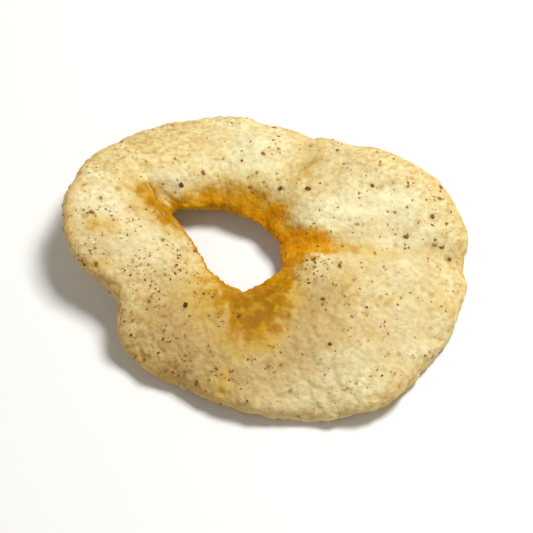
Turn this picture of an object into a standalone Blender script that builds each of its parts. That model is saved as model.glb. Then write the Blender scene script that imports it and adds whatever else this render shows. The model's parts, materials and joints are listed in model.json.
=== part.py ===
"""A dried apple ring: one slice, peeled, cored and dried, with crumbs of ground spice stuck to it.

The ring is one closed solid, in metres, +Z up. It lies as it would on a table, puffed face up, with
the origin under the middle of its outline. The slice is first shaped in its own flat frame, whose
origin is the middle of the slice and whose +X runs across its widest part. Then it is laid on the
three spots that it rests on, and the crumbs are fused to it.
"""

import math
import random
from collections import namedtuple

import bmesh
import bpy
from mathutils import Vector, noise
from mathutils.bvhtree import BVHTree

MM = 0.001
UP = Vector((0, 0, 1))

# Rim. A swell moves it out, or in where it is negative, around one direction from the middle.
Swell = namedtuple("Swell", "direction reach spread")
SLICE_RADIUS = 27.0 * MM
RIM_SWELLS = (
    Swell(160, 2.7 * MM, 55),
    Swell(302, 2.1 * MM, 16),
    Swell(66, -6.8 * MM, 37),
    Swell(198, -4.0 * MM, 12),
    Swell(244, -4.9 * MM, 92),
    Swell(238, -1.0 * MM, 14),
    Swell(83, -0.6 * MM, 5),
    Swell(73, -0.4 * MM, 3),
    Swell(-2, -0.6 * MM, 3),
    Swell(220, -0.6 * MM, 4),
)
RIM_RIPPLE = 0.35 * MM
RIM_RIPPLE_LENGTH = 5.0 * MM

# Core hole, cut off centre. It dried into straight sides between the corners of the seed chambers.
Corner = namedtuple("Corner", "direction reach")
CORE_CENTRE = Vector((-5.0 * MM, 1.9 * MM))
CORE_CORNERS = (
    Corner(12, 6.2 * MM),
    Corner(45, 5.6 * MM),
    Corner(98, 6.5 * MM),
    Corner(142, 10.1 * MM),
    Corner(192, 3.8 * MM),
    Corner(232, 4.4 * MM),
    Corner(284, 6.7 * MM),
    Corner(337, 7.2 * MM),
)
CORNER_SOFTENING = 3

# Thickness of the flesh, and how far in from each edge it is full.
FLESH_THICKNESS = 4.8 * MM
CORE_THICKNESS = 1.8 * MM
CORE_TAPER = 5.5 * MM
RIM_THICKNESS = 2.8 * MM
RIM_TAPER = 5.5 * MM
CORE_ROUND = 0.8 * MM
RIM_ROUND = 1.4 * MM
# The flesh sinks towards the hole, over this reach.
FUNNEL_DROP = 1.0 * MM
FUNNEL_REACH = 3.0 * MM

# Warp of the whole slice, as heights at the rim.
DOME = -0.6 * MM
SADDLE = 2.1 * MM
SADDLE_HIGH = 15
RIPPLE = 2.6 * MM
RIPPLE_HIGH = 50
RIM_WAVE = 1.0 * MM
RIM_WAVE_LENGTH = 11 * MM
RIM_WAVE_REACH = 8 * MM

# Folds run out from the core, where the seed chambers shrank, and puckers run in from the rim.
Fold = namedtuple("Fold", "start heading run depth spread")
CORE_FOLDS = (
    Fold(142, 139, 10.0 * MM, 1.9 * MM, 1.4 * MM),
    Fold(42, 62, 17.0 * MM, 1.1 * MM, 1.5 * MM),
    Fold(357, 356, 22.0 * MM, 1.4 * MM, 1.6 * MM),
    Fold(312, 300, 18.0 * MM, 1.0 * MM, 2.2 * MM),
    Fold(262, 262, 9.0 * MM, 0.8 * MM, 2.0 * MM),
    Fold(196, 184, 12.0 * MM, 0.8 * MM, 1.6 * MM),
)
RIM_FOLDS = (
    Fold(73, 246, 9.0 * MM, 1.3 * MM, 1.1 * MM),
    Fold(-2, 173, 9.0 * MM, 1.1 * MM, 1.0 * MM),
    Fold(220, 48, 8.0 * MM, 1.1 * MM, 1.2 * MM),
)
PUCKERS = 13
PUCKER_STRAY = 25
PUCKER_RUN = (2.5 * MM, 6.0 * MM)
PUCKER_DEPTH = (0.3 * MM, 0.8 * MM)
PUCKER_SPREAD = (0.8 * MM, 1.6 * MM)
FOLD_MEANDER = 0.9 * MM
FOLD_MEANDER_LENGTH = 5.0 * MM
FOLD_SHARPNESS = 1.4
# A fold narrows to the first share of its spread at its start and widens by the second along its run.
FOLD_WIDENING = (0.7, 0.6)
# How much of a fold bends the whole slice, and how much pinches the flesh.
FOLD_BEND = 0.35
FOLD_PINCH = 0.6

# Pillows of the puffed face, by their place on the slice.
Puff = namedtuple("Puff", "x y reach height")
PUFFS = (
    Puff(-17 * MM, 12 * MM, 7 * MM, 0.7 * MM),
    Puff(-3 * MM, 17 * MM, 6 * MM, 0.5 * MM),
    Puff(12 * MM, 6 * MM, 8 * MM, 0.5 * MM),
    Puff(12 * MM, -11 * MM, 9 * MM, 0.6 * MM),
    Puff(-9 * MM, -11 * MM, 7 * MM, 0.5 * MM),
)

# The thin lip of core wall that curls up along one side of the hole, and the groove behind it.
LIP = Swell(215, 0.8 * MM, 45)
LIP_WIDTH = 0.9 * MM
GROOVE_INSET = 2.1 * MM
GROOVE_SHARE = 0.8

# Uneven shrinking, as soft lumps of two lengths. The faces read the noise this far apart.
LUMP_LENGTHS = (8.0 * MM, 3.4 * MM)
LUMP_HEIGHTS = (0.45 * MM, 0.35 * MM)
FACES_APART = 31 * MM

# How far the soft underside flattens where it lies on the table.
REST_FLATTENING = 0.25 * MM

# Crumbs of spice: coarse ones alone, sunk halfway into the top. The largest lie at these places on the plan,
# in mm, where the photo shows them, and the others at random, a share of them in drifts.
LARGEST_CRUMBS = (
    (-10.2, -9.7), (-11.0, 9.5), (1.8, 8.5), (7.9, -15.1), (5.4, 7.7), (23.4, -1.4), (13.6, 7.8), (-3.5, -11.0),
    (7.1, -8.4), (17.8, 0.6), (21.2, 3.4), (-8.8, -19.4),
)
Drift = namedtuple("Drift", "x y spread")
DRIFTS = (Drift(20 * MM, 4.5 * MM, 3 * MM), Drift(7 * MM, -4 * MM, 2 * MM), Drift(-19 * MM, 1 * MM, 4 * MM))
DRIFTED_SHARE = 0.25
CRUMBS = 60
CRUMB_WIDTH = (0.5 * MM, 0.95 * MM)
CRUMB_FLATNESS = 0.6
CRUMB_RAGGEDNESS = 0.2
CRUMB_SPACING = 1.7 * MM
# A crumb lies only where the way out of the flesh points up at least this much.
CRUMB_LEAST_RISE = 0.75
CRUMB_EDGE_ANGLE = math.radians(35)

# Mesh: directions round the ring, rows round each edge, and rows across each face, closer by the hole.
DIRECTIONS = 104
ROUND_ROWS = 3
FACE_ROWS = 12
ROW_CROWDING = 1.25

FLESH_COLOUR = (0.80, 0.63, 0.32, 1)
FLESH_ROUGHNESS = 0.7
SPICE_COLOUR = (0.13, 0.05, 0.02, 1)
SPICE_ROUGHNESS = 0.85
SEED = 7


def clear_scene():
    for obj in list(bpy.data.objects):
        bpy.data.objects.remove(obj)


def matt_material(name, colour, roughness):
    material = bpy.data.materials.new(name)
    material.use_nodes = True
    shader = material.node_tree.nodes["Principled BSDF"]
    shader.inputs["Base Color"].default_value = colour
    shader.inputs["Roughness"].default_value = roughness
    return material


def smooth_step(t):
    t = min(1, max(0, t))
    return t * t * (3 - 2 * t)


def hump(distance, reach):
    """1 at no distance, falling smoothly to nothing at about twice the reach."""
    return math.exp(-(distance / reach) ** 2)


def toward(degrees):
    """The flat unit vector in a direction, counted anticlockwise from +X."""
    return Vector((math.cos(math.radians(degrees)), math.sin(math.radians(degrees))))


def turn_between(a, b):
    """The angle from b to a, from -180 to 180."""
    return (a - b + 180) % 360 - 180


def noise_at(point, length):
    return noise.noise((point / length).to_3d())


def rim_point(direction):
    radius = SLICE_RADIUS
    for swell in RIM_SWELLS:
        radius += swell.reach * hump(turn_between(direction, swell.direction), swell.spread)
    radius += RIM_RIPPLE * noise_at(toward(direction) * radius, RIM_RIPPLE_LENGTH)
    return toward(direction) * radius


def straight_reach(direction):
    """How far from its centre the hole's edge is, along the straight side that a direction meets."""
    for start, end in zip(CORE_CORNERS[-1:] + CORE_CORNERS, CORE_CORNERS):
        span = math.radians((end.direction - start.direction) % 360)
        turn = math.radians((direction - start.direction) % 360)
        if turn <= span:
            across = start.reach * math.sin(turn) + end.reach * math.sin(span - turn)
            return start.reach * end.reach * math.sin(span) / across


def core_point(direction):
    nearby = (direction - CORNER_SOFTENING, direction, direction + CORNER_SOFTENING)
    return CORE_CENTRE + toward(direction) * sum(map(straight_reach, nearby)) / len(nearby)


def puckers():
    draw = random.Random(SEED)
    for number in range(PUCKERS):
        direction = (number + draw.random()) * 360 / PUCKERS
        heading = direction + 180 + draw.uniform(-PUCKER_STRAY, PUCKER_STRAY)
        yield Fold(direction, heading, draw.uniform(*PUCKER_RUN), draw.uniform(*PUCKER_DEPTH),
                   draw.uniform(*PUCKER_SPREAD))


def fold_depth(point, start, fold):
    """How deep one fold is at a point: deepest at its start, widening and fading along its run."""
    heading = toward(fold.heading)
    along = (point - start).dot(heading)
    if along < -fold.spread:
        return 0
    across = (point - start).cross(heading) + FOLD_MEANDER * noise_at(point, FOLD_MEANDER_LENGTH)
    share = max(0, along) / fold.run
    spread = fold.spread * (FOLD_WIDENING[0] + FOLD_WIDENING[1] * share)
    return fold.depth * math.exp(-abs(across / spread) ** FOLD_SHARPNESS) * (1 - smooth_step(share))


def warp(point):
    """Height of the slice's middle surface: a dome, a saddle and a three-way ripple of the rim."""
    share = point.length / SLICE_RADIUS
    direction = math.degrees(math.atan2(point.y, point.x))
    saddle = SADDLE * math.cos(math.radians(2 * (direction - SADDLE_HIGH)))
    ripple = RIPPLE * math.cos(math.radians(3 * (direction - RIPPLE_HIGH)))
    return (DOME + saddle) * share ** 2 + ripple * share ** 3


def lumps(point, face):
    place = Vector((point.x, point.y, FACES_APART * face))
    return sum(height * noise.noise(place / length) for length, height in zip(LUMP_LENGTHS, LUMP_HEIGHTS))


def puff_height(point):
    return sum(puff.height * hump((point - Vector((puff.x, puff.y))).length, puff.reach) for puff in PUFFS)


def lip_height(direction, inset):
    share = hump(turn_between(direction, LIP.direction), LIP.spread)
    groove = GROOVE_SHARE * hump(inset - GROOVE_INSET, LIP_WIDTH)
    return LIP.reach * share * (hump(inset, LIP_WIDTH) - groove)


def thickness(inset, outset):
    core = CORE_THICKNESS + (FLESH_THICKNESS - CORE_THICKNESS) * smooth_step(inset / CORE_TAPER)
    rim = RIM_THICKNESS + (FLESH_THICKNESS - RIM_THICKNESS) * smooth_step(outset / RIM_TAPER)
    return min(core, rim)


def cross_section(width):
    """(inset from the hole, share of the half thickness) from the hole's edge out to the rim."""
    steps = [math.radians(90 * row / ROUND_ROWS) for row in range(ROUND_ROWS + 1)]
    start = [(CORE_ROUND * (1 - math.cos(step)), math.sin(step)) for step in steps]
    end = [(width - RIM_ROUND * (1 - math.cos(step)), math.sin(step)) for step in reversed(steps)]
    flat = width - CORE_ROUND - RIM_ROUND
    shares = [(row / FACE_ROWS) ** ROW_CROWDING for row in range(1, FACE_ROWS)]
    return start + [(CORE_ROUND + flat * share, 1) for share in shares] + end


def surface_point(direction, inset, share, face, folds):
    """A point of the top (face 1) or the underside (face -1), this far out from the hole's edge."""
    core, rim = core_point(direction), rim_point(direction)
    outset = (rim - core).length - inset
    point = core.lerp(rim, inset / (inset + outset))
    valley = sum(fold_depth(point, start, fold) for start, fold in folds)
    half = thickness(inset, outset) / 2
    bulge = half * math.exp(-FOLD_PINCH * valley / half) + lumps(point, face)
    if face > 0:
        bulge += puff_height(point) + lip_height(direction, inset)
    curl = RIM_WAVE * (1 - smooth_step(outset / RIM_WAVE_REACH)) * noise_at(rim, RIM_WAVE_LENGTH)
    middle = warp(point) + curl - FUNNEL_DROP * hump(inset, FUNNEL_REACH) - FOLD_BEND * valley
    return Vector((point.x, point.y, middle + face * share * bulge))


def shape_slice():
    """The bare ring in its own flat frame, as a grid that closes both round the hole and round its section."""
    folds = [(core_point(fold.start), fold) for fold in CORE_FOLDS]
    folds += [(rim_point(fold.start), fold) for fold in (*RIM_FOLDS, *puckers())]
    mesh = bmesh.new()
    rings = []
    for number in range(DIRECTIONS):
        direction = number * 360 / DIRECTIONS
        section = cross_section((rim_point(direction) - core_point(direction)).length)
        loop = [(inset, share, 1) for inset, share in section]
        loop += [(inset, share, -1) for inset, share in reversed(section[1:-1])]
        rings.append([mesh.verts.new(surface_point(direction, *place, folds)) for place in loop])
    for ring, following in zip(rings, rings[1:] + rings[:1]):
        for row, vert in enumerate(ring):
            after = (row + 1) % len(ring)
            mesh.faces.new((vert, following[row], following[after], ring[after]))
    bmesh.ops.recalc_face_normals(mesh, faces=mesh.faces)
    return mesh


def centre_of_mass(mesh):
    """The middle of the solid, from the cones that its faces make with the origin."""
    total = 0
    moment = Vector()
    for a, b, c in mesh.calc_loop_triangles():
        volume = a.vert.co.dot(b.vert.co.cross(c.vert.co)) / 6
        total += volume
        moment += volume * (a.vert.co + b.vert.co + c.vert.co) / 4
    return moment / total


def resting_direction(mesh):
    """The way down when the ring lies on its underside: out of the hull face that its weight stands on."""
    middle = centre_of_mass(mesh)
    hull = mesh.copy()
    inner = bmesh.ops.convex_hull(hull, input=hull.verts)["geom_interior"]
    bmesh.ops.delete(hull, geom=inner, context="VERTS")
    found = UP
    for triangle in hull.calc_loop_triangles():
        a, b, c = (loop.vert.co for loop in triangle)
        normal = (b - a).cross(c - a).normalized()
        if normal.dot(a - middle) < 0:
            normal.negate()
        foot = middle + normal * normal.dot(a - middle)
        sides = [(p - foot).cross(q - foot).dot(normal) for p, q in ((a, b), (b, c), (c, a))]
        if normal.z < found.z and (min(sides) >= 0 or max(sides) <= 0):
            found = normal
    hull.free()
    return found


def lay_down(mesh):
    """Turns the ring onto its stable underside, flattens its feet a little and centres it over the origin."""
    turn = resting_direction(mesh).rotation_difference(-UP)
    bmesh.ops.rotate(mesh, verts=mesh.verts, cent=(0, 0, 0), matrix=turn.to_matrix())
    xs, ys, zs = zip(*(vert.co for vert in mesh.verts))
    middle = Vector((min(xs) + max(xs), min(ys) + max(ys), 2 * (min(zs) + REST_FLATTENING))) / 2
    bmesh.ops.translate(mesh, verts=mesh.verts, vec=-middle)
    for vert in mesh.verts:
        vert.co.z = max(0, vert.co.z)


def crumb_starts(draw):
    """Places over the ring to drop a crumb from, without end."""
    reach = SLICE_RADIUS + RIM_SWELLS[0].reach
    for x, y in LARGEST_CRUMBS:
        yield Vector((x * MM, y * MM, reach))
    while True:
        drift = draw.choice(DRIFTS)
        near = Vector((draw.gauss(drift.x, drift.spread), draw.gauss(drift.y, drift.spread), reach))
        far = Vector((draw.uniform(-reach, reach), draw.uniform(-reach, reach), reach))
        yield near if draw.random() < DRIFTED_SHARE else far


def crumb_places(surface):
    """Where the coarse crumbs lie, the largest first: (place, way out of the flesh, width) each."""
    draw = random.Random(SEED)
    widths = sorted((draw.uniform(*CRUMB_WIDTH) for _ in range(CRUMBS)), reverse=True)
    placed = []
    for start in crumb_starts(draw):
        place, out, _, _ = surface.ray_cast(start, -UP)
        if place is None or out.z < CRUMB_LEAST_RISE:
            continue
        if all((place - other).length > CRUMB_SPACING for other, _, _ in placed):
            placed.append((place, out, widths[len(placed)]))
        if len(placed) == CRUMBS:
            return placed


def make_crumb(number, place, out, width, material):
    """A ragged flake of spice, half sunk in the flesh."""
    draw = random.Random(SEED + number)
    mesh = bmesh.new()
    bmesh.ops.create_icosphere(mesh, subdivisions=1, radius=width / 2)
    for vert in mesh.verts:
        vert.co *= 1 + draw.uniform(-CRUMB_RAGGEDNESS, CRUMB_RAGGEDNESS)
        vert.co.z *= CRUMB_FLATNESS
    crumb = as_object(mesh, f"crumb_{number}")
    crumb.data.materials.append(material)
    crumb.rotation_euler = out.to_track_quat("Z", "X").to_euler()
    crumb.location = place
    return crumb


def fuse_crumbs(ring, crumbs):
    """Joins the crumbs to the ring with one union, and removes them."""
    loose = bpy.data.collections.new("crumbs")
    bpy.context.scene.collection.children.link(loose)
    for crumb in crumbs:
        bpy.context.scene.collection.objects.unlink(crumb)
        loose.objects.link(crumb)
    union = ring.modifiers.new("crumbs", "BOOLEAN")
    union.operation = "UNION"
    union.operand_type = "COLLECTION"
    union.collection = loose
    union.solver = "EXACT"
    union.material_mode = "TRANSFER"
    graph = bpy.context.evaluated_depsgraph_get()
    fused = bpy.data.meshes.new_from_object(ring.evaluated_get(graph))
    ring.modifiers.remove(union)
    ring.data = fused
    fused.set_sharp_from_angle(angle=CRUMB_EDGE_ANGLE)
    for crumb in crumbs:
        bpy.data.objects.remove(crumb)
    bpy.data.collections.remove(loose)


def as_object(mesh, name):
    data = bpy.data.meshes.new(name)
    mesh.to_mesh(data)
    mesh.free()
    data.shade_smooth()
    obj = bpy.data.objects.new(name, data)
    bpy.context.scene.collection.objects.link(obj)
    return obj


def main():
    clear_scene()
    mesh = shape_slice()
    lay_down(mesh)
    surface = BVHTree.FromBMesh(mesh)
    ring = as_object(mesh, "apple_ring")
    ring.data.materials.append(matt_material("dried_flesh", FLESH_COLOUR, FLESH_ROUGHNESS))
    spice = matt_material("ground_spice", SPICE_COLOUR, SPICE_ROUGHNESS)
    crumbs = [make_crumb(number, *place, spice) for number, place in enumerate(crumb_places(surface))]
    fuse_crumbs(ring, crumbs)


main()
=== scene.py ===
"""A dried apple ring dusted with ground spice, lying on a plain pale table.

The solid gives the form and the size. Its skin is cut finer here and shrunk into wrinkles, it is stained
where the core browned, and the grains of spice are laid on it. Lengths are real, through MM.
"""

import json
import math
import random
from collections import namedtuple

import bmesh
import bpy
import numpy as np
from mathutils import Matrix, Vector, noise
from mathutils.bvhtree import BVHTree


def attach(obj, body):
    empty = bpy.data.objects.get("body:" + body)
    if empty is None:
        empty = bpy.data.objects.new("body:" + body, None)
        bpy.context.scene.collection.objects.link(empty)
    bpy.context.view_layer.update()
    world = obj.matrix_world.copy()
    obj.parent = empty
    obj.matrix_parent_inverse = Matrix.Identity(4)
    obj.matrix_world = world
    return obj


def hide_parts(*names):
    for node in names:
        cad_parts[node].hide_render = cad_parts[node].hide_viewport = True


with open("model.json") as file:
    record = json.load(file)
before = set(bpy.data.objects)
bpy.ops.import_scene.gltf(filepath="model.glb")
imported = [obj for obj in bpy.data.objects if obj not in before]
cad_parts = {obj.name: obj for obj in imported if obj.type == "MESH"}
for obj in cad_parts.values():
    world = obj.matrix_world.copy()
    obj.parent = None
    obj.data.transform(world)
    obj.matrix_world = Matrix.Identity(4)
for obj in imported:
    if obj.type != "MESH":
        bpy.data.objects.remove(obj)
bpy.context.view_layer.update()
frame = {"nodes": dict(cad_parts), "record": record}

MM = 0.001
UP = Vector((0, 0, 1))
SEED = 7

# The ring lies within this far of the middle of the plan, each way.
RING_REACH = 29.7 * MM

# Skin: how near two points of the solid are one, the side of its squares, and the rounds of smoothing that
# take the solid's facets and crumbs away.
MERGE = 0.001 * MM
SKIN_SQUARE = 0.24 * MM
SKIN_ROUNDS = 50
# The face takes this share of each round, the hole's edge none, and this far round a crumb's middle it
# rises to the whole.
SKIN_SOFTENING = 0.25
CRUMB_HEALING = 1.1 * MM
# Fewer rounds, which keep the slopes that the solid's crumbs lie on, show where the crumbs go.
SLOPE_ROUNDS = 20
SLOPE_SMOOTHING = 0.5
# The skin's edges are read off in steps of this many degrees round the hole.
EDGE_STEP = 3

# Relief of the shrunk skin: soft waves, or flat cells with creases between them. Both are drawn out along
# the rays from the hole, by one of two shares, and lie where the named measure of the skin is high.
Relief = namedtuple("Relief", "name length height creased squeezed where")
RELIEFS = (
    Relief("Pillow", 4.6 * MM, 0.30 * MM, False, "drawn", "face"),
    Relief("Dimple", 2.0 * MM, 0.13 * MM, False, "drawn", "face"),
    Relief("Crease", 2.6 * MM, 0.14 * MM, True, "drawn", "wrinkled"),
    Relief("Fine Crease", 1.2 * MM, 0.07 * MM, True, "drawn", "wrinkled"),
    Relief("Crimp", 1.5 * MM, 0.24 * MM, False, "long_drawn", "rim"),
    Relief("Rib", 1.0 * MM, 0.16 * MM, False, "long_drawn", "core"),
    Relief("Grain", 0.8 * MM, 0.035 * MM, False, "drawn", "face"),
)
DRAWN = 0.55
LONG_DRAWN = 0.15
RELIEF_DETAIL = 1.5
# A wave swings from its lowest to its highest over this part of the noise.
WAVE_RANGE = (0.25, 0.75)
# How far a crease strays from the straight side of its cell, and how wide it is, beside the cell.
CREASE_STRAY = 0.5
CREASE_WIDTH = 0.16
# How far in the rim and the core reach, and how much calmer the face is at the core.
RIM_REACH = 2.4 * MM
CORE_REACH = 2.0 * MM
CORE_CALM = 0.85
# How wrinkled the face is in its middle, and the side of the plan towards which it is more so.
WRINKLED_MIDDLE = 0.55
WRINKLED_SIDE = (-0.6, -0.8)

# Soft spots on the plan, in mm: their middle, how far they reach, and how strong they are.
Spot = namedtuple("Spot", "x y reach strength")
# Where the flesh stayed pale, partly painted light: painted highlights on ridges and beside creases, and
# painted light on the bright right face and the lower right.
PALE_AND_PAINTED_LIGHT_SPOTS = (
    Spot(8, 2, 4, 0.8), Spot(14, 2.5, 4.5, 0.9), Spot(19, 2, 5, 0.6), Spot(-20, 4, 5, 0.8),
    Spot(-4, 12, 5, 0.6), Spot(3, -22, 6, 0.9), Spot(-16, -1, 5, 0.7), Spot(18.5, -11.5, 5, 0.75),
    Spot(10, -20, 4, 0.35), Spot(-1, 17, 5, 0.45), Spot(5.4, -4.4, 1.6, 0.9), Spot(-12.3, 9, 1.8, 0.7),
    Spot(10, 14.5, 4, 0.35), Spot(14.5, -14.5, 4, 0.3),
)
# Where the flesh browned a little, partly painted shade: it darkens the near left side, the lower right and
# the lit top of the right pillow.
BROWNED_AND_PAINTED_SHADE_SPOTS = (
    Spot(-2, -13.5, 6, 1.1), Spot(-6, -17, 4, 0.5), Spot(-14, -11, 5, 0.6), Spot(6, -14, 4, 0.5),
    Spot(6, 11, 4, 0.4), Spot(13, 9.5, 4, 0.15), Spot(-11, 2, 3, 0.25), Spot(-15, 14, 5, 0.25),
    Spot(20.5, -3.5, 3.5, 0.3), Spot(14.5, -15.5, 3.5, 0.5), Spot(7, -8, 2.5, 0.45),
    Spot(-7.5, -11, 3.5, 0.4), Spot(16.5, -6.5, 3.5, 0.2),
)

# Amber round the core, by how far out it has half faded, at directions round the hole in degrees.
CORE_AMBER = {
    0: 2.2 * MM, 15: 1.6 * MM, 38: 2.1 * MM, 60: 3.0 * MM, 90: 3.1 * MM, 120: 2.3 * MM, 140: 1.7 * MM,
    152: 1.3 * MM, 165: 0.7 * MM, 205: 0.3 * MM, 240: 0.8 * MM, 262: 3.3 * MM, 285: 4.2 * MM, 305: 3.6 * MM,
    330: 2.4 * MM, 345: 2.0 * MM,
}
# Stains beyond it, in mm on the plan: from one place to another, weaker towards it, this wide at either end,
# this strong, and how orange: 1 at the most, 0 for gold and -1 for the brownest gold. One that has no
# strength only turns the colour of the others.
Stain = namedtuple("Stain", "start end widths strength orange")
STAINS = (
    Stain((2.0, 0.5), (10.2, -0.2), (2.0, 0.95), 1.2, 0.6),
    Stain((2.6, -0.6), (6.2, -1.9), (1.5, 0.8), 1.0, 0.3),
    Stain((2.4, 1.3), (6.0, 1.5), (0.9, 0.4), 0.9, 0.4),
    Stain((0.4, 5.8), (2.4, 3.4), (1.3, 1.2), 0.9, 0.5),
    Stain((9.4, -0.9), (14.6, -1.9), (1.2, 1.1), 0.46, 0),
    Stain((14.6, -1.9), (20.5, -1.2), (1.1, 0.9), 0.28, 0),
    Stain((-12.5, 5.3), (-17.0, 7.7), (2.0, 2.3), 0.9, -0.2),
    Stain((-15.8, 7.4), (-17.4, 7.6), (1.9, 1.8), 0.75, -0.3),
    Stain((-12.6, 4.0), (-14.6, 4.2), (1.9, 1.5), 0.75, -0.2),
    Stain((-8.1, -4.2), (-7.2, -5.2), (1.1, 1.0), 0.75, 0.4),
    Stain((1.4, -3.8), (0.8, -8.6), (2.8, 2.8), 1.1, -0.05),
    Stain((-0.8, -8.8), (-2.6, -13.2), (3.3, 3.2), 1.3, -0.4),
    Stain((-1.0, -10.2), (-2.8, -14.2), (4.4, 4.6), 0, -0.4),
    Stain((-1.0, -7.6), (-7.4, -8.4), (3.8, 3.2), 1.0, -0.25),
    Stain((-5.2, -20.6), (-4.4, -20.7), (1.8, 1.6), 0.42, 0),
    Stain((-21.6, 1.4), (-18.4, 0.8), (1.8, 1.6), 0.5, 0),
    Stain((-22.2, -4.3), (-19.2, -4.0), (0.45, 0.4), 0.45, 0.2),
    Stain((15.0, -9.2), (15.6, -9.4), (1.2, 1.0), 0.34, -0.6),
    Stain((13.2, -13.0), (13.6, -13.2), (0.9, 0.8), 0.34, -0.6),
    Stain((10.2, -6.6), (10.8, -7.0), (1.2, 1.0), 0.28, -0.6),
    Stain((22.4, -8.0), (23.6, -8.4), (1.8, 1.6), 0.25, 0),
    Stain((6.4, 12.4), (6.6, 16.2), (1.0, 0.8), 0.34, -0.6),
    Stain((6.2, 12.6), (3.2, 8.2), (0.8, 0.6), 0.34, -0.6),
)
# A stain is whole over this share of its width, and has lost this share of its strength at its end.
SOLID_SHARE = 0.1
STAIN_END = 0.55
# Their outlines are warped this far, in noise of this length, which has its own seed.
STAIN_WARPS = ((1.1 * MM, 2.8 * MM), (0.6 * MM, 1.1 * MM))
STAIN_SEED = 2

# Spice. The coarse crumbs lie where the solid has them, by the same draws from the same values: the largest
# at these places on the plan, in mm, and the others at random, a share of them in drifts.
LARGEST_CRUMBS = (
    (-10.2, -9.7), (-11.0, 9.5), (1.8, 8.5), (7.9, -15.1), (5.4, 7.7), (23.4, -1.4), (13.6, 7.8),
    (-3.5, -11.0), (7.1, -8.4), (17.8, 0.6), (21.2, 3.4), (-8.8, -19.4),
)
Drift = namedtuple("Drift", "x y spread")
DRIFTS = (
    Drift(20 * MM, 4.5 * MM, 3 * MM),
    Drift(7 * MM, -4 * MM, 2 * MM),
    Drift(-19 * MM, 1 * MM, 4 * MM),
)
DRIFTED_SHARE = 0.25
CRUMBS = 60
CRUMB_WIDTH = (0.5 * MM, 0.95 * MM)
CRUMB_SPACING = 1.7 * MM
CRUMB_LEAST_RISE = 0.75
# On the finished skin each is set down from this far out, and is this much narrower than in the solid.
CRUMB_DROP = 3 * MM
CRUMB_SHRINK = 0.66
# The flesh has taken colour this far round it.
CRUMB_HALO = 0.9 * MM
# How thick the finest dust lies away from the drifts, in them, and towards the near left side, where its tint
# is also painted shade.
DUST_LEAST = 0.14
DUST_IN_DRIFTS = 0.5
DUST_AND_SHADE_TO_SIDE = 0.6
# The rim is tanned a little, and more where the dust lies.
TAN_LEAST = 0.1
TAN_WITH_DUST = 0.7
# Fine grains: how many, how wide, and how densely they lie, at the least and in these spots.
GRAINS = 1750
GRAIN_WIDTH = (0.14 * MM, 0.46 * MM)
GRAIN_LEAST = 0.16
STREWN_SPOTS = (
    Spot(20, 4.5, 3, 0.4), Spot(7, -4, 3, 0.8), Spot(-12, -14, 8, 0.8), Spot(14, -14, 5, 0.15),
    Spot(5, 13, 5, 0.2), Spot(-20, 1, 5, 0.3),
)
# They have their own seed, come from all sides, aimed at this height, and keep this far off the table. They
# lie in clumps of this length, less so the higher their evenness, and most have melted away on the amber.
GRAIN_SEED = 8
GRAIN_AIM = 4 * MM
GRAIN_CLEARANCE = 0.3 * MM
GRAIN_CLUMP = 2.2 * MM
GRAIN_EVENNESS = 0.35
GRAIN_MELTING = 0.85
# Powers by which most are small, and most are pale.
GRAIN_SMALLNESS = 1.6
GRAIN_PALENESS = 0.5
# Flakes start as balls one across: how many kinds, how flat and how long beside their width, how ragged,
# and how finely the balls of the crumbs and of the grains are cut.
BALL_RADIUS = 0.5
FLAKE_KINDS = 6
FLAKE_FLATNESS = 0.4
FLAKE_LENGTH = (0.8, 1.4)
FLAKE_RAGGEDNESS = 0.7
CRUMB_CUTS = 2
GRAIN_CUTS = 1

# Colours of the flesh, in the order in which they are laid: its own cream, by how pale it stayed and where
# light is painted on, and clouds of tan over it, from the noise at which each sets in to that at which it is
# full.
CREAM = "#f4e2a2"
PALE_CREAM_AND_PAINTED_LIGHT = "#faf6ca"
Cloud = namedtuple("Cloud", "length detail start full strength colour")
CLOUDS = (
    Cloud(6.0 * MM, 3.0, 0.42, 0.66, 0.55, "#e8d18a"),
    Cloud(1.6 * MM, 3.0, 0.42, 0.70, 0.60, "#dab96c"),
    Cloud(0.7 * MM, 3.0, 0.42, 0.70, 0.95, "#c49e56"),
)
# Pale places, and places with painted light, lose this share of the clouds.
PALE_AND_PAINTED_LIGHT_CALM = 0.65
# Tints by a measure of the skin: painted shade in the hollows, the tanned rim, browned spots that are partly
# painted shade, thick dust that is partly painted shade on the near left side, and the crumbs' halos.
Tint = namedtuple("Tint", "measure start full strength colour")
TINTS = (
    # Painted shade: the flesh is darker in the hollows of the relief, where shade falls.
    Tint("raised", 0.10 * MM, -0.40 * MM, 0.50, "#d8b066"),
    Tint("tanned", 0.0, 1.0, 1.00, "#d6a548"),
    # Browned spots, partly painted shade.
    Tint("browned", 0.0, 1.0, 0.60, "#b38e54"),
    # Thick dust; towards the near left side this tint is partly painted shade.
    Tint("dust_and_side_shade", 0.3, 1.0, 0.28, "#c49850"),
    Tint("crumbed", 0.0, 1.0, 0.35, "#b2743a"),
)
# Round marks, one in a cell where its chance is high enough: specks of the finest dust and, not tied to the
# dust, smudges. A mark reaches this share of its cell, with an edge as soft as this share.
Mark = namedtuple("Mark", "cell dusted start full reach edge strength colour")
MARKS = (
    Mark(0.45 * MM, True, 0.15, 0.7, 0.40, 0.15, 0.55, "#b88044"),
    Mark(0.80 * MM, True, 0.15, 0.7, 0.34, 0.15, 0.60, "#a0622c"),
    Mark(2.10 * MM, False, 0.4, 1.0, 0.34, 0.20, 0.70, "#b8924c"),
)
# A faint glow round the amber.
GLOW = Tint("amber", 0.0, 0.5, 0.45, "#dcb45a")

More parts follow.
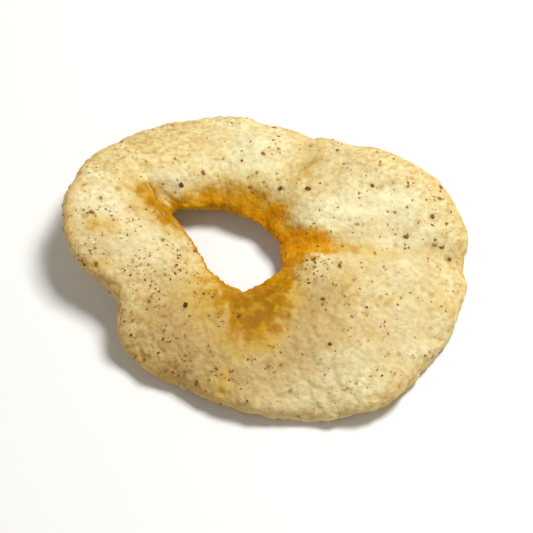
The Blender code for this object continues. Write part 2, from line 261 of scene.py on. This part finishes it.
# The amber's edge is frayed by fine noise and by streaks drawn out along the rays, which count this much
# beside it. Both together, over this range, swing the amber this far either way, but less where its strength
# times the onset is below 1. It hides the flesh wholly from this strength on.
FRAY_LENGTH = 1.3 * MM
FRAY_DETAIL = 5.0
FRAY_ROUGHNESS = 0.65
STREAK_LENGTH = 0.9 * MM
STREAK_DETAIL = 3.0
STREAK_SHARE = 0.75
FRAY_RANGE = (0.6, 1.15)
FRAY_SWING = 0.36
FRAY_ONSET = 1.6
AMBER_FULL = 0.88
# Its colour, from faint to strong, turned to orange or to the brownest gold, and blotched.
GOLDS = ((0.0, "#dccb64"), (0.3, "#d8b640"), (0.65, "#c28a04"), (1.0, "#cc8e04"))
ORANGE = "#ea980c"
BROWNEST = "#9c6c0a"
BLOTCHES = (
    Cloud(1.5 * MM, 4.0, 0.50, 0.68, 0.45, "#e4b62c"),
    Cloud(1.5 * MM, 4.0, 0.50, 0.34, 0.45, "#ae6804"),
)

# Finishes. Dried flesh is matt and lets a little light in, which goes furthest in red. It is least matt on
# the amber.
FLESH_FINISH = {
    "Specular IOR Level": 0.08,
    "Subsurface Weight": 0.3,
    "Subsurface Radius": (1.0, 0.72, 0.36),
    "Subsurface Scale": 0.6 * MM,
}
FLESH_ROUGHNESS = 0.6
AMBER_ROUGHNESS = 0.5
PORE_LENGTH = 0.6 * MM
PORE_DETAIL = 4.0
PORE_DEPTH = 0.21 * MM
# Spice is ground bark: darkest in its largest crumbs, and fibrous.
SPICE_FINISH = {"Roughness": 0.85}
SPICE_TONES = ((0.0, "#472a12"), (0.2, "#6a3f1c"), (0.55, "#98652f"), (1.0, "#c49656"))
FIBRE_LENGTH = 0.12 * MM
FIBRE_DEPTH = 0.03 * MM
FIBRE_STRENGTH = 0.4
TABLE_COLOUR = "#f5f4f1"
TABLE_ROUGHNESS = 0.6

# Table, camera and light: places and sizes in metres, the lens and its sensor in mm, power in watts.
TABLE_REACH = 1.5
CAMERA_ELEVATION = 55
CAMERA_LENS = 200
SENSOR = 36
FRAME_WIDTH = 68 * MM
LOOK_AT = Vector((0, -0.0022, 0.004))
Lamp = namedtuple("Lamp", "name place size watts")
LAMPS = (
    Lamp("key", (0.17, 0.12, 0.42), 0.16, 2.2),
    Lamp("fill", (-0.30, -0.35, 0.40), 0.50, 0.5),
)
STUDIO_COLOUR = "#fdfcf8"
STUDIO_STRENGTH = 0.20


def linear(colour):
    """An sRGB hex value as the linear colour that a socket takes."""
    channels = [int(colour[start:start + 2], 16) / 255 for start in (1, 3, 5)]
    return [c / 12.92 if c <= 0.04045 else ((c + 0.055) / 1.055) ** 2.4 for c in channels] + [1]


def add(tree, kind, inputs=None, stops=(), **settings):
    """Adds a node with its settings. An input is given a value, or the node or output that feeds it.

    A ramp is also given its stops, from 0 to 1: (place, hex colour) each.
    """
    node = tree.nodes.new(kind)
    for name, value in settings.items():
        setattr(node, name, value)
    for place, _ in stops[1:-1]:
        node.color_ramp.elements.new(place)
    for number, (_, hex_colour) in enumerate(stops):
        node.color_ramp.elements[number].color = linear(hex_colour)
    for name, value in (inputs or {}).items():
        live = [socket for socket in node.inputs if socket.enabled]
        socket = live[name] if isinstance(name, int) else next(s for s in live if s.name == name)
        if isinstance(value, bpy.types.Node):
            value = next(output for output in value.outputs if output.enabled)
        if isinstance(value, bpy.types.NodeSocket):
            tree.links.new(value, socket)
        else:
            socket.default_value = value
    return node


def new_tree(name, sockets):
    """A tree of geometry nodes with the named inputs: (tree, its input node)."""
    tree = bpy.data.node_groups.new(name, "GeometryNodeTree")
    tree.interface.new_socket("Geometry", in_out="INPUT", socket_type="NodeSocketGeometry")
    tree.interface.new_socket("Geometry", in_out="OUTPUT", socket_type="NodeSocketGeometry")
    for label, kind in sockets.items():
        tree.interface.new_socket(label, in_out="INPUT", socket_type=kind)
    return tree, add(tree, "NodeGroupInput")


def keep_result(obj):
    """Makes what an object's modifiers give its plain mesh, and removes them."""
    graph = bpy.context.evaluated_depsgraph_get()
    mesh = bpy.data.meshes.new_from_object(obj.evaluated_get(graph), depsgraph=graph)
    obj.modifiers.clear()
    obj.data = mesh


def grow(obj, tree, values):
    """Runs a tree on an object, with its inputs set by their identifiers, and keeps the result."""
    modifier = obj.modifiers.new(tree.name, "NODES")
    modifier.node_group = tree
    for item in tree.interface.items_tree:
        if item.in_out == "INPUT" and item.name in values:
            modifier[item.identifier] = values[item.name]
    keep_result(obj)


def as_object(data, name):
    """An object in the scene that has this mesh, light or camera."""
    obj = bpy.data.objects.new(name, data)
    bpy.context.scene.collection.objects.link(obj)
    return obj


def read_points(mesh):
    """The points of a mesh, one to a row."""
    points = np.empty(len(mesh.vertices) * 3)
    mesh.vertices.foreach_get("co", points)
    return points.reshape(-1, 3)


def store(mesh, name, values):
    """Keeps one number or one vector for each point of a mesh, as a named attribute."""
    values = np.asarray(values, np.float32)
    kind, field = ("FLOAT_VECTOR", "vector") if values.ndim == 2 else ("FLOAT", "value")
    mesh.attributes.new(name, kind, "POINT").data.foreach_set(field, values.ravel())


def fade(share):
    """1 at no share of a reach, falling smoothly to nothing at the whole of it."""
    share = np.clip(share, 0, 1)
    return 1 - share * share * (3 - 2 * share)


def surface_of(mesh):
    """A mesh, for rays to meet."""
    points = [point.co for point in mesh.vertices]
    return BVHTree.FromPolygons(points, [face.vertices for face in mesh.polygons])


def cut_skin(node):
    """The solid's whole surface as one even mesh of small squares."""
    mesh = bmesh.new()
    mesh.from_mesh(node.data)
    bmesh.ops.remove_doubles(mesh, verts=mesh.verts, dist=MERGE)
    data = bpy.data.meshes.new("dried_flesh")
    mesh.to_mesh(data)
    mesh.free()
    skin = as_object(data, "dried_flesh")
    squares = skin.modifiers.new("squares", "REMESH")
    squares.mode = "VOXEL"
    squares.voxel_size = SKIN_SQUARE
    keep_result(skin)
    return skin


def smoothed_surface(mesh):
    """The skin with its crumbs smoothed away, for rays to meet."""
    smooth = bmesh.new()
    smooth.from_mesh(mesh)
    for _ in range(SLOPE_ROUNDS):
        bmesh.ops.smooth_vert(smooth, verts=smooth.verts, factor=SLOPE_SMOOTHING,
                              use_axis_x=True, use_axis_y=True, use_axis_z=True)
    surface = BVHTree.FromBMesh(smooth)
    smooth.free()
    return surface


def crumb_starts(draw):
    """Places over the ring to drop a crumb from, without end."""
    for x, y in LARGEST_CRUMBS:
        yield Vector((x * MM, y * MM, RING_REACH))
    reach = (-RING_REACH, RING_REACH)
    while True:
        drift = draw.choice(DRIFTS)
        near = Vector((draw.gauss(drift.x, drift.spread), draw.gauss(drift.y, drift.spread), RING_REACH))
        far = Vector((draw.uniform(*reach), draw.uniform(*reach), RING_REACH))
        yield near if draw.random() < DRIFTED_SHARE else far


def crumb_places(surface):
    """Where the coarse crumbs lie, the largest first: (place, way out of the flesh, width) each."""
    draw = random.Random(SEED)
    widths = sorted((draw.uniform(*CRUMB_WIDTH) for _ in range(CRUMBS)), reverse=True)
    placed = []
    for start in crumb_starts(draw):
        place, out, _, _ = surface.ray_cast(start, -UP)
        if place is None or out.z < CRUMB_LEAST_RISE:
            continue
        if all((place - other).length > CRUMB_SPACING for other, _, _ in placed):
            placed.append((place, out, widths[len(placed)]))
        if len(placed) == CRUMBS:
            return placed


def read_layout(points, hole):
    """For each point: its direction round the hole, how far out of the hole and how far in from the rim."""
    across, up = (points[:, :2] - hole).T
    reach = np.hypot(across, up)
    direction = np.degrees(np.arctan2(up, across)) % 360
    step = (direction // EDGE_STEP).astype(int)
    edge = np.full(360 // EDGE_STEP, np.inf)
    rim = np.zeros(360 // EDGE_STEP)
    np.minimum.at(edge, step, reach)
    np.maximum.at(rim, step, reach)
    middles = (np.arange(len(edge)) + 0.5) * EDGE_STEP
    inset = reach - np.interp(direction, middles, edge, period=360)
    outset = np.interp(direction, middles, rim, period=360) - reach
    return direction, inset, outset


def draw_out(points, hole, share):
    """Places for a pattern that is drawn out along the rays from the hole, where the share is below 1."""
    flat = points[:, :2] - hole
    reach = np.linalg.norm(flat, axis=1, keepdims=True)
    true_at = RING_REACH / 2
    return np.hstack([flat / reach * (true_at + share * (reach - true_at)), points[:, 2:]])


def half_faded(distance, width):
    """A stain: whole in its middle, half faded at its width."""
    return fade((distance / width - SOLID_SHARE) / (1 - SOLID_SHARE) / 2)


def amber_fields(points, direction, inset):
    """How strong the amber is at each point, and how far it turns from gold to orange."""
    noise.seed_set(STAIN_SEED)
    for warp, length in STAIN_WARPS:
        points = points + warp * np.array([noise.noise_vector(Vector(point) / length) for point in points])
    turns = sorted(CORE_AMBER)
    width = np.interp(direction, turns, [CORE_AMBER[turn] for turn in turns], period=360)
    amber = half_faded(inset, width)
    orange = np.zeros(len(points))
    for stain in STAINS:
        start, end = np.array(stain.start) * MM, np.array(stain.end) * MM
        way = end - start
        along = np.clip((points[:, :2] - start) @ way / (way @ way), 0, 1)
        distance = np.linalg.norm(points[:, :2] - start - along[:, None] * way, axis=1)
        near_width, far_width = stain.widths
        share = half_faded(distance, (near_width + (far_width - near_width) * along) * MM)
        share = share * (1 - STAIN_END * along ** 2)
        amber = np.maximum(amber, stain.strength * share)
        orange += stain.orange * share
    return amber, np.clip(orange, -1, 1)


def soft_spots(points, spots):
    """How strongly the spots of a list lie on each point, up to 1."""
    total = 0
    for spot in spots:
        off = (points[:, 0] - spot.x * MM) ** 2 + (points[:, 1] - spot.y * MM) ** 2
        total = total + spot.strength * np.exp(-off / (2 * (spot.reach * MM) ** 2))
    return np.clip(total, 0, 1)


def dust_and_side_shade(x, y):
    """How thick the finest dust lies, from a little to 1 in the drifts and, partly as painted shade, on the
    near left side.
    """
    drifts = sum(np.exp(-((x - d.x) ** 2 + (y - d.y) ** 2) / (2 * d.spread) ** 2) for d in DRIFTS)
    side = np.clip(-(x + y) / (2 * RING_REACH), 0, 1)
    return np.clip(DUST_LEAST + DUST_IN_DRIFTS * drifts + DUST_AND_SHADE_TO_SIDE * side, 0, 1)


def describe_skin(mesh, hole, crumbs):
    """Stores on the skin what its relief and its colours follow."""
    points = read_points(mesh)
    direction, inset, outset = read_layout(points, hole)
    side = points[:, :2] @ np.array(WRINKLED_SIDE) / RING_REACH
    rim, core = fade(outset / RIM_REACH), fade(inset / CORE_REACH)
    dust = dust_and_side_shade(points[:, 0], points[:, 1])
    amber, orange = amber_fields(points, direction, inset)
    nearest = np.min([np.linalg.norm(points - np.array(place), axis=1) for place, _, _ in crumbs], axis=0)
    least = SKIN_SOFTENING * (1 - core)
    measures = {
        "drawn": draw_out(points, hole, DRAWN),
        "long_drawn": draw_out(points, hole, LONG_DRAWN),
        "soften": least + (1 - least) * fade(nearest / CRUMB_HEALING),
        "face": 1 - CORE_CALM * core,
        "wrinkled": np.clip(WRINKLED_MIDDLE + side + (rim + core) / 2, 0, 1),
        "rim": rim,
        "core": core,
        # The pale measure is partly painted light: painted highlights and painted light on the bright faces.
        "pale": soft_spots(points, PALE_AND_PAINTED_LIGHT_SPOTS),
        "tanned": rim * (TAN_LEAST + TAN_WITH_DUST * dust),
        # The browned measure is partly painted shade.
        "browned": soft_spots(points, BROWNED_AND_PAINTED_SHADE_SPOTS),
        # The dust measure is also partly painted shade towards the near left side.
        "dust_and_side_shade": dust,
        "crumbed": fade(nearest / CRUMB_HALO),
        "amber": amber,
        "orange": orange,
    }
    for name, values in measures.items():
        store(mesh, name, values)


def relief_tree():
    """Smooths the skin, hardest where a crumb was, and then raises each relief along the way out.

    It also marks how far each point was raised, and lets nothing sink into the table.
    """
    sockets = {"Rounds": "NodeSocketInt", "Seed": "NodeSocketFloat", "Material": "NodeSocketMaterial"}
    for relief in RELIEFS:
        sockets |= {f"{relief.name} {size}": "NodeSocketFloat" for size in ("Length", "Height")}
    tree, given = new_tree("shrunk skin", sockets)
    sizes = given.outputs
    soften = add(tree, "GeometryNodeInputNamedAttribute", {"Name": "soften"}, data_type="FLOAT")
    place = add(tree, "GeometryNodeInputPosition")
    smooth = add(tree, "GeometryNodeBlurAttribute",
                 {"Value": place, "Iterations": sizes["Rounds"], "Weight": soften}, data_type="FLOAT_VECTOR")
    skin = add(tree, "GeometryNodeSetPosition", {"Geometry": sizes["Geometry"], "Position": smooth})
    total = None
    for number, relief in enumerate(RELIEFS):
        length, tallest = sizes[f"{relief.name} Length"], sizes[f"{relief.name} Height"]
        drawn = add(tree, "GeometryNodeInputNamedAttribute", {"Name": relief.squeezed},
                    data_type="FLOAT_VECTOR")
        scale = add(tree, "ShaderNodeMath", {0: 1.0, 1: length}, operation="DIVIDE")
        seed = add(tree, "ShaderNodeMath", {0: sizes["Seed"], 1: float(number)}, operation="ADD")
        wave = add(tree, "ShaderNodeTexNoise",
                   {"Vector": drawn, "W": seed, "Scale": scale, "Detail": RELIEF_DETAIL},
                   noise_dimensions="4D")
        if relief.creased:
            stray = add(tree, "ShaderNodeVectorMath", {0: wave.outputs["Color"], "Scale": CREASE_STRAY},
                        operation="SCALE")
            cell = add(tree, "ShaderNodeVectorMath", {0: drawn, "Scale": scale}, operation="SCALE")
            cell = add(tree, "ShaderNodeVectorMath", {0: cell, 1: stray}, operation="ADD")
            side = add(tree, "ShaderNodeTexVoronoi", {"Vector": cell, "Scale": 1.0},
                       feature="DISTANCE_TO_EDGE")
            swing = add(tree, "ShaderNodeMapRange",
                        {"Value": side, "From Max": CREASE_WIDTH, "To Min": -1.0, "To Max": 0.0},
                        interpolation_type="SMOOTHSTEP")
        else:
            low, high = WAVE_RANGE
            swing = add(tree, "ShaderNodeMapRange",
                        {"Value": wave, "From Min": low, "From Max": high, "To Min": -1.0})
        where = add(tree, "GeometryNodeInputNamedAttribute", {"Name": relief.where}, data_type="FLOAT")
        height = add(tree, "ShaderNodeMath", {0: tallest, 1: where}, operation="MULTIPLY")
        raised = add(tree, "ShaderNodeMath", {0: swing, 1: height}, operation="MULTIPLY")
        total = add(tree, "ShaderNodeMath", {0: raised, 1: total}, operation="ADD") if total else raised
    out = add(tree, "GeometryNodeInputNormal")
    offset = add(tree, "ShaderNodeVectorMath", {0: out, "Scale": total}, operation="SCALE")
    marked = add(tree, "GeometryNodeStoreNamedAttribute",
                 {"Geometry": skin, "Name": "raised", "Value": total}, data_type="FLOAT", domain="POINT")
    raised = add(tree, "GeometryNodeSetPosition", {"Geometry": marked, "Offset": offset})
    split = add(tree, "ShaderNodeSeparateXYZ", {0: add(tree, "GeometryNodeInputPosition")}).outputs
    on_table = add(tree, "ShaderNodeMath", {0: split["Z"], 1: 0.0}, operation="MAXIMUM")
    flat = add(tree, "ShaderNodeCombineXYZ", {"X": split["X"], "Y": split["Y"], "Z": on_table})
    resting = add(tree, "GeometryNodeSetPosition", {"Geometry": raised, "Position": flat})
    shaded = add(tree, "GeometryNodeSetShadeSmooth", {"Geometry": resting})
    real = add(tree, "GeometryNodeRealizeInstances", {"Geometry": shaded})
    painted = add(tree, "GeometryNodeSetMaterial", {"Geometry": real, "Material": sizes["Material"]})
    add(tree, "NodeGroupOutput", {"Geometry": painted})
    return tree


def settled(crumbs, surface):
    """The coarse crumbs on the finished skin, the largest the darkest: (place, way out, width, tone) each."""
    for number, (place, out, width) in enumerate(crumbs):
        place, out, _, _ = surface.ray_cast(place + out * CRUMB_DROP, -out)
        yield place, out, width * CRUMB_SHRINK, math.sqrt(number / CRUMBS)


def grain_places(mesh, surface):
    """Where the fine grains lie, all over the ring: (place, way out, width, tone) each."""
    amber = mesh.attributes["amber"].data
    draw = random.Random(GRAIN_SEED)
    least, most = GRAIN_WIDTH
    reach = (-RING_REACH, RING_REACH)
    placed = []
    while len(placed) < GRAINS:
        start = Vector([draw.gauss(0, 1) for _ in range(3)]).normalized() * 2 * RING_REACH
        end = Vector((draw.uniform(*reach), draw.uniform(*reach), GRAIN_AIM))
        place, out, face, _ = surface.ray_cast(start, (end - start).normalized())
        if place is None or place.z < GRAIN_CLEARANCE:
            continue
        dry = 1 - GRAIN_MELTING * min(1, amber[mesh.polygons[face].vertices[0]].value)
        clumped = GRAIN_EVENNESS + noise.noise(place / GRAIN_CLUMP)
        strewn = GRAIN_LEAST + soft_spots(np.array([place]), STREWN_SPOTS)[0]
        if draw.random() > clumped * dry * strewn:
            continue
        width = least + (most - least) * draw.random() ** GRAIN_SMALLNESS
        placed.append((place, out, width, draw.random() ** GRAIN_PALENESS))
    return placed


def lay_spice(name, placed, tree, cuts, material):
    """One piece of flakes: a loose point for each, with its way out, width and tone, and then the tree."""
    places, *measures = zip(*placed)
    mesh = bpy.data.meshes.new(name)
    mesh.from_pydata(places, [], [])
    for label, values in zip(("out", "width", "tone"), measures):
        store(mesh, label, values)
    spice = as_object(mesh, name)
    shortest, longest = FLAKE_LENGTH
    grow(spice, tree, {
        "Cuts": cuts, "Flatness": FLAKE_FLATNESS, "Raggedness": FLAKE_RAGGEDNESS / cuts,
        "Least Length": shortest, "Most Length": longest, "Seed": SEED, "Material": material,
    })
    return spice


def flakes_tree():
    """Puts one of a few kinds of ragged flake on each point, turned flat to the flesh."""
    sockets = {"Cuts": "NodeSocketInt"}
    for size in ("Flatness", "Raggedness", "Least Length", "Most Length"):
        sockets[size] = "NodeSocketFloat"
    tree, given = new_tree("ground flakes",
                           {**sockets, "Seed": "NodeSocketInt", "Material": "NodeSocketMaterial"})
    sizes = given.outputs
    kinds = add(tree, "GeometryNodeJoinGeometry")
    for number in range(FLAKE_KINDS):
        ball = add(tree, "GeometryNodeMeshIcoSphere", {"Radius": BALL_RADIUS, "Subdivisions": sizes["Cuts"]})
        seed = add(tree, "ShaderNodeMath", {0: sizes["Seed"], 1: float(number)}, operation="ADD")
        stray = add(tree, "FunctionNodeRandomValue",
                    {"Min": (-BALL_RADIUS,) * 3, "Max": (BALL_RADIUS,) * 3, "Seed": seed},
                    data_type="FLOAT_VECTOR")
        offset = add(tree, "ShaderNodeVectorMath", {0: stray, "Scale": sizes["Raggedness"]},
                     operation="SCALE")
        ragged = add(tree, "GeometryNodeSetPosition", {"Geometry": ball.outputs["Mesh"], "Offset": offset})
        kind = add(tree, "GeometryNodeGeometryToInstance", {"Geometry": ragged})
        tree.links.new(kind.outputs[0], kinds.inputs[0])
    out = add(tree, "GeometryNodeInputNamedAttribute", {"Name": "out"}, data_type="FLOAT_VECTOR")
    width = add(tree, "GeometryNodeInputNamedAttribute", {"Name": "width"}, data_type="FLOAT")
    flat = add(tree, "FunctionNodeAlignRotationToVector", {"Vector": out}, axis="Z")
    turn = add(tree, "FunctionNodeRandomValue", {"Min": 0.0, "Max": 2 * math.pi, "Seed": sizes["Seed"]},
               data_type="FLOAT")
    spin = add(tree, "FunctionNodeAxisAngleToRotation", {"Axis": UP, "Angle": turn})
    turned = add(tree, "FunctionNodeRotateRotation", {"Rotation": flat, "Rotate By": spin},
                 rotation_space="LOCAL")
    length = add(tree, "FunctionNodeRandomValue",
                 {"Min": sizes["Least Length"], "Max": sizes["Most Length"], "Seed": sizes["Seed"]},
                 data_type="FLOAT")
    shape = add(tree, "ShaderNodeCombineXYZ", {"X": length, "Y": 1.0, "Z": sizes["Flatness"]})
    size = add(tree, "ShaderNodeVectorMath", {0: shape, "Scale": width}, operation="SCALE")
    points = add(tree, "GeometryNodeMeshToPoints", {"Mesh": sizes["Geometry"]})
    pick = add(tree, "FunctionNodeRandomValue", {"Min": 0, "Max": FLAKE_KINDS - 1, "Seed": sizes["Seed"]},
               data_type="INT")
    laid = add(tree, "GeometryNodeInstanceOnPoints",
               {"Points": points, "Instance": kinds, "Pick Instance": True, "Instance Index": pick,
                "Rotation": turned, "Scale": size})
    real = add(tree, "GeometryNodeRealizeInstances", {"Geometry": laid})
    painted = add(tree, "GeometryNodeSetMaterial", {"Geometry": real, "Material": sizes["Material"]})
    add(tree, "NodeGroupOutput", {"Geometry": painted})
    return tree


def new_material(name, finish):
    """A material with what is the same all over it set on its shader: (material, its tree, its shader)."""
    material = bpy.data.materials.new(name)
    material.use_nodes = True
    shader = material.node_tree.nodes["Principled BSDF"]
    for socket, value in finish.items():
        shader.inputs[socket].default_value = value
    return material, material.node_tree, shader


def clouded(tree, place, colour, clouds, pale=None):
    """The colour with clouds over it, which are weaker where it is pale and where light is painted on."""
    for cloud in clouds:
        wave = add(tree, "ShaderNodeTexNoise",
                   {"Vector": place, "Scale": 1 / cloud.length, "Detail": cloud.detail})
        most = cloud.strength
        if pale:
            most = add(tree, "ShaderNodeMath", {0: pale, 1: -PALE_AND_PAINTED_LIGHT_CALM * most, 2: most},
                       operation="MULTIPLY_ADD")
        share = add(tree, "ShaderNodeMapRange",
                    {"Value": wave, "From Min": cloud.start, "From Max": cloud.full, "To Max": most})
        colour = add(tree, "ShaderNodeMix", {"Factor": share, "A": colour, "B": linear(cloud.colour)},
                     data_type="RGBA")
    return colour


def tinted(tree, colour, tints):
    """The colour with tints over it, each as strong as its measure of the skin says."""
    for tint in tints:
        measure = add(tree, "ShaderNodeAttribute", attribute_name=tint.measure).outputs["Fac"]
        share = add(tree, "ShaderNodeMapRange",
                    {"Value": measure, "From Min": tint.start, "From Max": tint.full,
                     "To Max": tint.strength})
        colour = add(tree, "ShaderNodeMix", {"Factor": share, "A": colour, "B": linear(tint.colour)},
                     data_type="RGBA")
    return colour


def specked(tree, place, colour):
    """The colour with the finest dust and the smudges over it."""
    dust = add(tree, "ShaderNodeAttribute", attribute_name="dust_and_side_shade").outputs["Fac"]
    for mark in MARKS:
        cells = add(tree, "ShaderNodeTexVoronoi", {"Vector": place, "Scale": 1 / mark.cell})
        chance = add(tree, "ShaderNodeSeparateColor", {"Color": cells.outputs["Color"]})
        if mark.dusted:
            chance = add(tree, "ShaderNodeMath", {0: chance, 1: dust}, operation="MULTIPLY")
        reach = add(tree, "ShaderNodeMapRange",
                    {"Value": chance, "From Min": mark.start, "From Max": mark.full, "To Max": mark.reach})
        inside = add(tree, "ShaderNodeMath", {0: reach, 1: cells.outputs["Distance"]}, operation="SUBTRACT")
        share = add(tree, "ShaderNodeMapRange",
                    {"Value": inside, "From Max": mark.edge, "To Max": mark.strength})
        colour = add(tree, "ShaderNodeMix", {"Factor": share, "A": colour, "B": linear(mark.colour)},
                     data_type="RGBA")
    return colour


def frayed_amber(tree, place):
    """The amber: (how far it hides the flesh, its colour)."""
    amber = add(tree, "ShaderNodeAttribute", attribute_name="amber").outputs["Fac"]
    orange = add(tree, "ShaderNodeAttribute", attribute_name="orange").outputs["Fac"]
    long_drawn = add(tree, "ShaderNodeAttribute", attribute_name="long_drawn").outputs["Vector"]
    fray = add(tree, "ShaderNodeTexNoise",
               {"Vector": place, "Scale": 1 / FRAY_LENGTH, "Detail": FRAY_DETAIL,
                "Roughness": FRAY_ROUGHNESS})
    streak = add(tree, "ShaderNodeTexNoise",
                 {"Vector": long_drawn, "Scale": 1 / STREAK_LENGTH, "Detail": STREAK_DETAIL})
    both = add(tree, "ShaderNodeMath", {0: streak, 1: STREAK_SHARE, 2: fray}, operation="MULTIPLY_ADD")
    low, high = FRAY_RANGE
    swing = add(tree, "ShaderNodeMapRange",
                {"Value": both, "From Min": low, "From Max": high, "To Min": -FRAY_SWING,
                 "To Max": FRAY_SWING})
    near = add(tree, "ShaderNodeMath", {0: amber, 1: FRAY_ONSET}, operation="MULTIPLY", use_clamp=True)
    swing = add(tree, "ShaderNodeMath", {0: swing, 1: near}, operation="MULTIPLY")
    frayed = add(tree, "ShaderNodeMath", {0: amber, 1: swing}, operation="ADD", use_clamp=True)
    cover = add(tree, "ShaderNodeMapRange", {"Value": frayed, "From Max": AMBER_FULL},
                interpolation_type="SMOOTHSTEP")
    colour = add(tree, "ShaderNodeValToRGB", {"Fac": frayed}, stops=GOLDS)
    browner = add(tree, "ShaderNodeMath", {0: orange, 1: -1.0}, operation="MULTIPLY", use_clamp=True)
    for share, hex_colour in ((orange, ORANGE), (browner, BROWNEST)):
        colour = add(tree, "ShaderNodeMix", {"Factor": share, "A": colour, "B": linear(hex_colour)},
                     data_type="RGBA")
    return cover, clouded(tree, place, colour, BLOTCHES)


def dried_flesh():
    """Air-dried apple flesh: matt, soft and a little see-through, pale cream that browned by the core.

    That gives the eye a dry bloom on the pillows, warm light inside thin edges, and a faint gloss on the
    amber.
    """
    material, tree, shader = new_material("dried apple flesh", FLESH_FINISH)
    place = add(tree, "ShaderNodeTexCoord").outputs["Object"]
    # The pale measure is partly painted light: painted highlights and painted light on the bright faces
    # lighten the cream.
    pale = add(tree, "ShaderNodeAttribute", attribute_name="pale").outputs["Fac"]
    colour = add(tree, "ShaderNodeMix", {"Factor": pale, "A": linear(CREAM), "B": linear(PALE_CREAM_AND_PAINTED_LIGHT)},
                 data_type="RGBA")
    colour = clouded(tree, place, colour, CLOUDS, pale)
    colour = tinted(tree, colour, TINTS)
    colour = specked(tree, place, colour)
    colour = tinted(tree, colour, (GLOW,))
    cover, amber = frayed_amber(tree, place)
    colour = add(tree, "ShaderNodeMix", {"Factor": cover, "A": colour, "B": amber}, data_type="RGBA")
    gloss = add(tree, "ShaderNodeMapRange",
                {"Value": cover, "To Min": FLESH_ROUGHNESS, "To Max": AMBER_ROUGHNESS})
    pores = add(tree, "ShaderNodeTexNoise",
                {"Vector": place, "Scale": 1 / PORE_LENGTH, "Detail": PORE_DETAIL})
    bump = add(tree, "ShaderNodeBump", {"Distance": PORE_DEPTH, "Height": pores})
    tree.links.new(next(output for output in colour.outputs if output.enabled), shader.inputs["Base Color"])
    tree.links.new(gloss.outputs["Result"], shader.inputs["Roughness"])
    tree.links.new(bump.outputs["Normal"], shader.inputs["Normal"])
    return material


def ground_spice():
    """Ground bark spice: dry, matt flakes, from near black through red brown to tan, no two alike.

    That gives the eye specks that stay dull in any light.
    """
    material, tree, shader = new_material("ground bark spice", SPICE_FINISH)
    tone = add(tree, "ShaderNodeAttribute", attribute_name="tone").outputs["Fac"]
    ramp = add(tree, "ShaderNodeValToRGB", {"Fac": tone}, stops=SPICE_TONES)
    place = add(tree, "ShaderNodeTexCoord").outputs["Object"]
    fibre = add(tree, "ShaderNodeTexNoise", {"Vector": place, "Scale": 1 / FIBRE_LENGTH})
    bump = add(tree, "ShaderNodeBump",
               {"Strength": FIBRE_STRENGTH, "Distance": FIBRE_DEPTH, "Height": fibre})
    tree.links.new(ramp.outputs["Color"], shader.inputs["Base Color"])
    tree.links.new(bump.outputs["Normal"], shader.inputs["Normal"])
    return material


def make_floor():
    """A matt pale table, wide enough to fill every view."""
    material, _, _ = new_material("pale table",
                                  {"Base Color": linear(TABLE_COLOUR), "Roughness": TABLE_ROUGHNESS})
    mesh = bpy.data.meshes.new("floor")
    corners = [(x * TABLE_REACH, y * TABLE_REACH, 0) for x, y in ((-1, -1), (1, -1), (1, 1), (-1, 1))]
    mesh.from_pydata(corners, [], [(0, 1, 2, 3)])
    mesh.materials.append(material)
    floor = as_object(mesh, "floor")


def light_studio():
    """A soft key light from behind on the right, a large weak fill from the front, and a pale room."""
    for lamp in LAMPS:
        light = bpy.data.lights.new(lamp.name, "AREA")
        light.size = lamp.size
        light.energy = lamp.watts
        hung = as_object(light, lamp.name)
        hung.location = lamp.place
        hung.rotation_euler = (-Vector(lamp.place)).to_track_quat("-Z", "Y").to_euler()
    world = bpy.data.worlds.new("studio")
    bpy.context.scene.world = world
    world.use_nodes = True
    background = world.node_tree.nodes["Background"]
    background.inputs["Color"].default_value = linear(STUDIO_COLOUR)
    background.inputs["Strength"].default_value = STUDIO_STRENGTH
    bpy.context.scene.view_settings.view_transform = "Standard"


def place_camera():
    """The camera, far off with a long lens, so that the frame is as wide as it should be at the ring."""
    data = bpy.data.cameras.new("camera")
    data.lens = CAMERA_LENS
    data.sensor_width = SENSOR
    camera = as_object(data, "camera")
    rise = math.radians(CAMERA_ELEVATION)
    back = Vector((0, -math.cos(rise), math.sin(rise)))
    camera.location = LOOK_AT + back * FRAME_WIDTH * CAMERA_LENS / SENSOR
    camera.rotation_euler = (-back).to_track_quat("-Z", "Y").to_euler()
    bpy.context.scene.camera = camera


def hole_middle():
    """The middle of the hole on the plan, from the record's opening."""
    low, high = frame["record"]["physics"]["openings"][0]["box_m"]
    return np.array((Vector(low) + Vector(high)).to_2d() / 2)


flesh = cut_skin(frame["nodes"]["apple_ring"])
crumbs = crumb_places(smoothed_surface(flesh.data))
describe_skin(flesh.data, hole_middle(), crumbs)
sizes = {f"{relief.name} Length": relief.length for relief in RELIEFS}
sizes |= {f"{relief.name} Height": relief.height for relief in RELIEFS}
sizes |= {"Rounds": SKIN_ROUNDS, "Seed": float(SEED), "Material": dried_flesh()}
grow(flesh, relief_tree(), sizes)

surface = surface_of(flesh.data)
flakes = flakes_tree()
bark = ground_spice()
coarse = lay_spice("coarse_spice", settled(crumbs, surface), flakes, CRUMB_CUTS, bark)
fine = lay_spice("fine_spice", grain_places(flesh.data, surface), flakes, GRAIN_CUTS, bark)

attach(flesh, "root")
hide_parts("apple_ring")
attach(coarse, "root")
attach(fine, "root")
make_floor()
light_studio()
place_camera()
